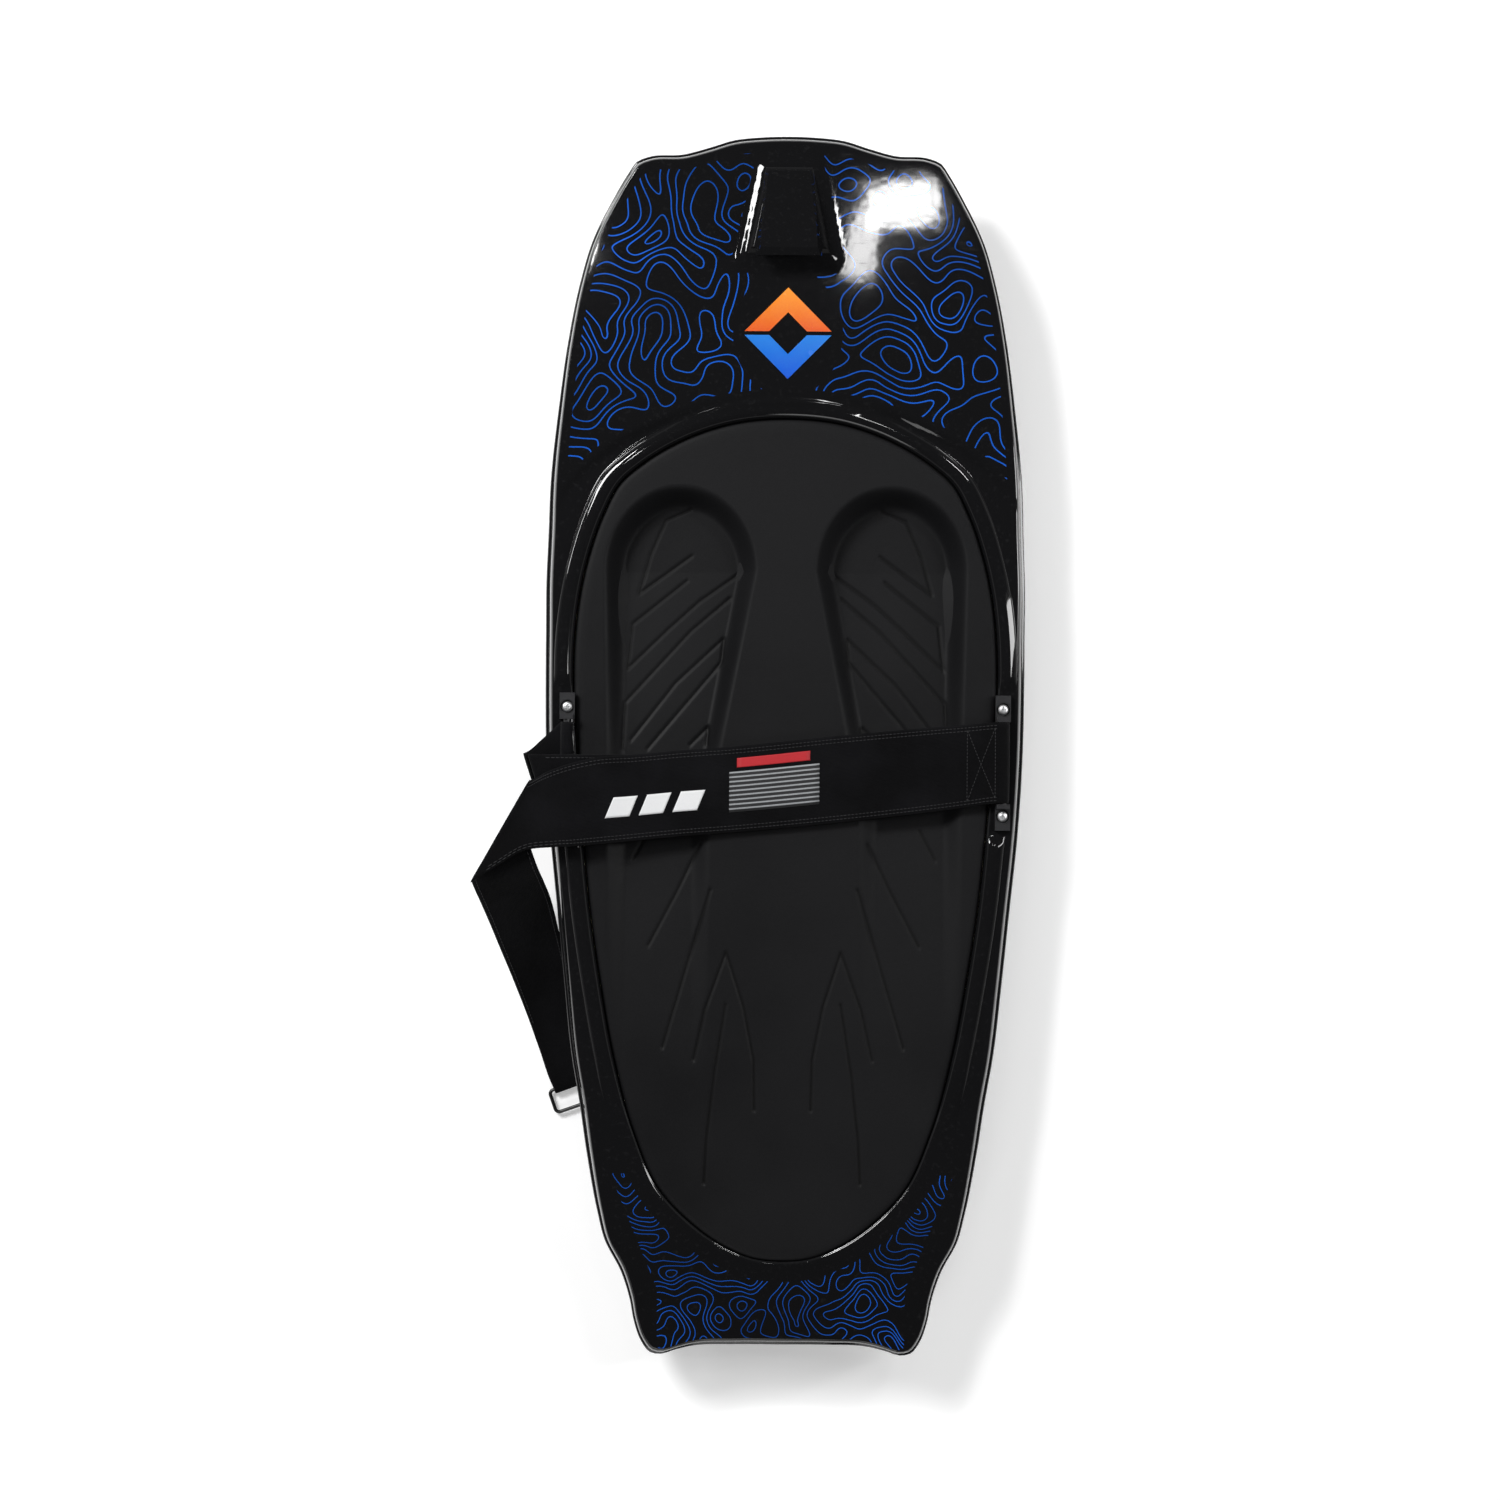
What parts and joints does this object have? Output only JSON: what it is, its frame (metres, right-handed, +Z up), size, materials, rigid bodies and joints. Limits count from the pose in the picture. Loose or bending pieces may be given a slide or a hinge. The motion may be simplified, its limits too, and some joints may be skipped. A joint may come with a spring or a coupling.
{
  "type": "kneeboard",
  "caption": "Towed kneeboard with a moulded pad with two knee wells, a tow hook on the nose and a wide adjustable knee strap.",
  "frame": {"origin": "centre of the flat underside of the hull, on the surface it rests on", "axes": "+Y towards the nose, +Z up out of the deck, +X to the rider's right"},
  "size_m": [0.588, 1.3, 0.1387],
  "materials": {
    "gloss_shell": "glossy black moulded plastic with thin blue contour lines",
    "core_foam": "rigid closed-cell foam",
    "black_plastic": "satin black moulded plastic",
    "pad_foam": "fine-grained matte black foam",
    "webbing": "matte black woven webbing",
    "padding": "black knitted foam padding",
    "dark_metal": "black coated ring",
    "tape": "black hook and loop tape",
    "screw_steel": "bright steel",
    "insert_brass": "plain brass"
  },
  "bodies": {
    "board": {"deck_shell": "gloss_shell", "hull_shell": "gloss_shell", "foam_core": "core_foam", "fill_plug": "black_plastic", "knee_pad": "pad_foam", "tow_hook": "gloss_shell", "bracket_left": "black_plastic", "bracket_right": "black_plastic", "hook_strap_base": "webbing", "screw_left_front": "screw_steel", "insert_left_front": "insert_brass", "screw_left_rear": "screw_steel", "insert_left_rear": "insert_brass", "screw_right_front": "screw_steel", "insert_right_front": "insert_brass", "screw_right_rear": "screw_steel", "insert_right_rear": "insert_brass"},
    "main_strap": {"main_strap": "webbing", "strap_padding": "padding"},
    "strap_tail": {"strap_tail": "webbing"},
    "strap_ring": {"strap_ring": "dark_metal"},
    "hook_flap": {"hook_flap": "webbing", "hook_tape": "tape", "loop_tape": "tape"}
  },
  "joints": [
    {"name": "strap_lift", "type": "hinge", "parent": "board", "child": "main_strap", "pos_m": [0.231, -0.012, 0.1], "axis": [0, 1, 0], "range_deg": [0, 90]},
    {"name": "tail_swing", "type": "hinge", "parent": "main_strap", "child": "strap_tail", "pos_m": [-0.299, -0.087, 0.104], "axis": [0, 0, -1], "range_deg": [0, 104]},
    {"name": "ring_swing", "type": "hinge", "parent": "strap_tail", "child": "strap_ring", "pos_m": [-0.22537, -0.36441, 0.0052], "axis": [-0.9422, -0.3351, 0], "range_deg": [0, 90]},
    {"name": "hook_flap_unfold", "type": "hinge", "parent": "board", "child": "hook_flap", "pos_m": [-0.262, -0.047, 0.1015], "axis": [0.3159, -0.9488, 0], "range_deg": [0, 90]}
  ],
  "couplings": [
    {"joint": "tail_swing", "follows": "strap_lift", "ratio": 1.155},
    {"joint": "hook_flap_unfold", "follows": "strap_lift", "ratio": 1}
  ]
}
